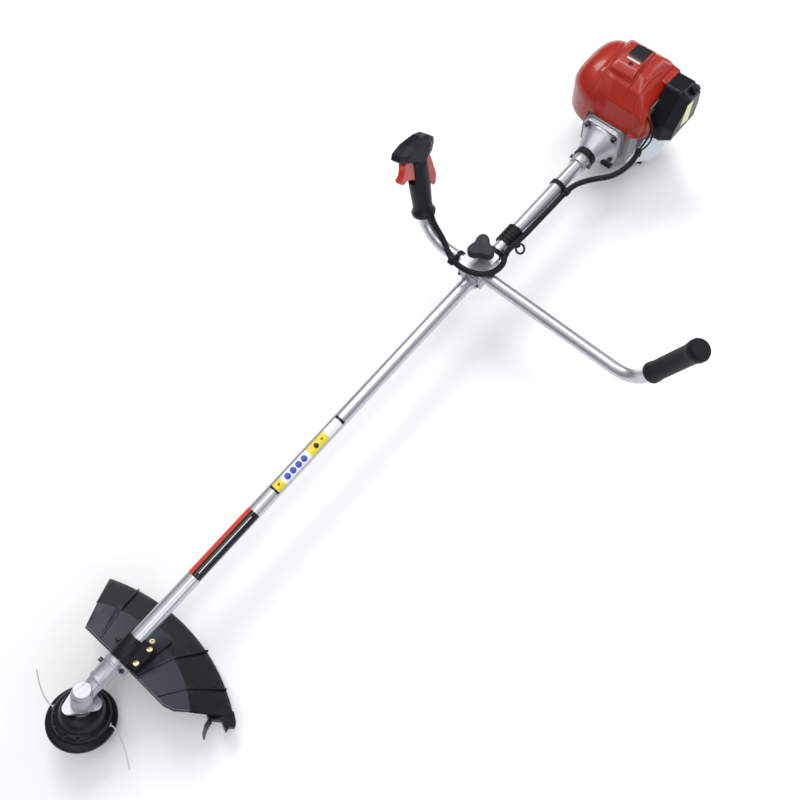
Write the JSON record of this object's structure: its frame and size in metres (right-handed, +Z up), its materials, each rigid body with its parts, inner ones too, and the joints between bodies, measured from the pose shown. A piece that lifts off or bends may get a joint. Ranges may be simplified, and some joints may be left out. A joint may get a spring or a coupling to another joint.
{
  "type": "brush cutter",
  "caption": "Petrol brush cutter: engine with red hood at one end of a long straight tube, wide handlebar with throttle grip, guard and bump-feed trimmer head at the other.",
  "frame": {"origin": "middle of the underside of the engine's stand, on the ground", "axes": "+X along the shaft from the engine to the cutting head, +Y to the operator's left, +Z up"},
  "size_m": [1.7178, 0.6495, 0.362],
  "materials": {
    "tube_paint": "satin",
    "cast_aluminium": "satin",
    "steel": "satin",
    "screw_steel": "satin",
    "bush_plastic": "matte",
    "black_rubber": "matte",
    "black_plastic": "satin",
    "guard_plastic": "gloss",
    "hood_plastic": "gloss",
    "red_plastic": "gloss",
    "tank_plastic": "satin",
    "grey_casting": "matte",
    "foam": "matte",
    "line_nylon": "gloss"
  },
  "bodies": {
    "frame": {"shaft_tube": "tube_paint", "shaft_bushes": "bush_plastic", "clutch_housing": "cast_aluminium", "clutch_screws": "screw_steel", "front_ring": "black_rubber", "tube_collar": "cast_aluminium", "ball_bearings": "steel", "fan_housing": "grey_casting", "crankcase": "cast_aluminium", "cylinder": "cast_aluminium", "spark_plug": "steel", "engine_shroud": "hood_plastic", "starter_cover": "black_plastic", "muffler": "steel", "fuel_tank": "tank_plastic", "engine_stand": "black_plastic", "carburetor": "cast_aluminium", "air_cleaner_case": "black_plastic", "air_filter": "foam", "primer_bulb": "black_rubber", "gear_case": "cast_aluminium", "pinch_screws": "screw_steel", "guard": "guard_plastic", "guard_clamp": "black_plastic", "guard_screws": "steel", "line_cutter_blade": "steel", "clamp_base": "cast_aluminium", "clamp_cap": "cast_aluminium", "harness_collar": "black_rubber", "cable_straps": "black_rubber", "control_cable": "black_rubber"},
    "crank": {"crankshaft": "steel", "flywheel": "cast_aluminium", "clutch_shoes": "steel"},
    "drive": {"clutch_drum": "steel", "drive_shaft": "steel", "pinion": "steel"},
    "spindle": {"output_spindle": "steel", "output_gear": "steel", "trimmer_head_body": "black_plastic", "trimmer_head_cover": "black_plastic", "trimmer_line": "line_nylon", "bump_spring": "steel"},
    "bump": {"line_spool": "black_plastic", "bump_knob": "black_plastic"},
    "piston": {"piston": "cast_aluminium"},
    "starter_handle": {"starter_handle": "black_rubber"},
    "starter_pulley": {"starter_pulley": "black_plastic"},
    "fuel_cap": {"fuel_cap": "black_plastic"},
    "filter_cover": {"air_cleaner_cover": "black_plastic"},
    "choke": {"choke_lever": "black_plastic"},
    "throttle_valve": {"carb_throttle_lever": "steel"},
    "handlebar": {"handlebar_tube": "tube_paint", "left_grip": "black_rubber", "throttle_grip": "black_plastic"},
    "trigger": {"throttle_trigger": "red_plastic"},
    "lockout": {"lockout_lever": "red_plastic"},
    "switch": {"stop_switch": "red_plastic"},
    "knob": {"clamp_knob": "black_plastic"},
    "eye": {"harness_ring": "steel"}
  },
  "joints": [
    {"name": "crank_spin", "type": "hinge", "parent": "frame", "child": "crank", "pos_m": [0, 0, 0.135], "axis": [1, 0, 0], "continuous": true},
    {"name": "spindle_spin", "type": "hinge", "parent": "frame", "child": "spindle", "pos_m": [1.4843, 0, 0.135], "axis": [-0.497, 0, 0.8678], "continuous": true},
    {"name": "drive_spin", "type": "hinge", "parent": "frame", "child": "drive", "pos_m": [0.1, 0, 0.135], "axis": [1, 0, 0], "continuous": true},
    {"name": "bump_feed", "type": "slide", "parent": "spindle", "child": "bump", "axis": [-0.497, 0, 0.8678], "range_m": [0, 0.003], "stiffness_N_per_m": 1500, "springref_m": -0.008, "deforming": ["bump_spring"]},
    {"name": "piston_slide", "type": "slide", "parent": "frame", "child": "piston", "axis": [0, 0, 1], "range_m": [-0.026, 0]},
    {"name": "starter_pull", "type": "slide", "parent": "frame", "child": "starter_handle", "axis": [0, -1, 0], "range_m": [0, 0.3], "stiffness_N_per_m": 12, "springref_m": -0.15},
    {"name": "pulley_turn", "type": "hinge", "parent": "frame", "child": "starter_pulley", "pos_m": [-0.117, 0, 0.135], "axis": [1, 0, 0], "range_deg": [-2, 884]},
    {"name": "fuel_cap_turn", "type": "hinge", "parent": "frame", "child": "fuel_cap", "pos_m": [-0.062, -0.098, 0.077], "axis": [0, -0.9397, 0.3419], "range_deg": [0, 120]},
    {"name": "filter_cover_off", "type": "slide", "parent": "frame", "child": "filter_cover", "axis": [0, 1, 0], "range_m": [0, 0.06]},
    {"name": "choke_swing", "type": "hinge", "parent": "frame", "child": "choke", "pos_m": [-0.03, 0.07, 0.1425], "axis": [0, 1, 0], "range_deg": [0, 60]},
    {"name": "throttle_valve_turn", "type": "hinge", "parent": "frame", "child": "throttle_valve", "pos_m": [-0.005, 0.053, 0.22], "axis": [0, 0, 1], "range_deg": [0, 45]},
    {"name": "bar_tilt", "type": "hinge", "parent": "frame", "child": "handlebar", "pos_m": [0.461, 0, 0.162], "axis": [0, 1, 0], "range_deg": [-20, 20], "deforming": ["control_cable"]},
    {"name": "trigger_squeeze", "type": "hinge", "parent": "handlebar", "child": "trigger", "pos_m": [0.42981, -0.17057, 0.32978], "axis": [-0.0696, 0.9571, 0.2813], "range_deg": [0, 14], "stiffness_Nm_per_rad": 0.15, "springref_deg": -20.05},
    {"name": "lockout_press", "type": "hinge", "parent": "handlebar", "child": "lockout", "pos_m": [0.40132, -0.16854, 0.31584], "axis": [0.0696, -0.9571, -0.2813], "range_deg": [0, 8], "stiffness_Nm_per_rad": 0.12, "springref_deg": -20.05},
    {"name": "stop_slide", "type": "slide", "parent": "handlebar", "child": "switch", "axis": [-0.2298, -0.2897, 0.9291], "range_m": [-0.002, 0.002]},
    {"name": "knob_turn", "type": "hinge", "parent": "frame", "child": "knob", "pos_m": [0.44, 0, 0.19], "axis": [0, 0, 1], "continuous": true},
    {"name": "eye_swing", "type": "hinge", "parent": "frame", "child": "eye", "pos_m": [0.35, 0.01748, 0.1223], "axis": [1, 0, 0], "range_deg": [-35, 35]}
  ],
  "couplings": [
    {"joint": "drive_spin", "follows": "spindle_spin", "ratio": 1.4615},
    {"joint": "pulley_turn", "follows": "starter_pull", "rad_per_m": 51.282},
    {"joint": "throttle_valve_turn", "follows": "trigger_squeeze", "ratio": 3}
  ]
}
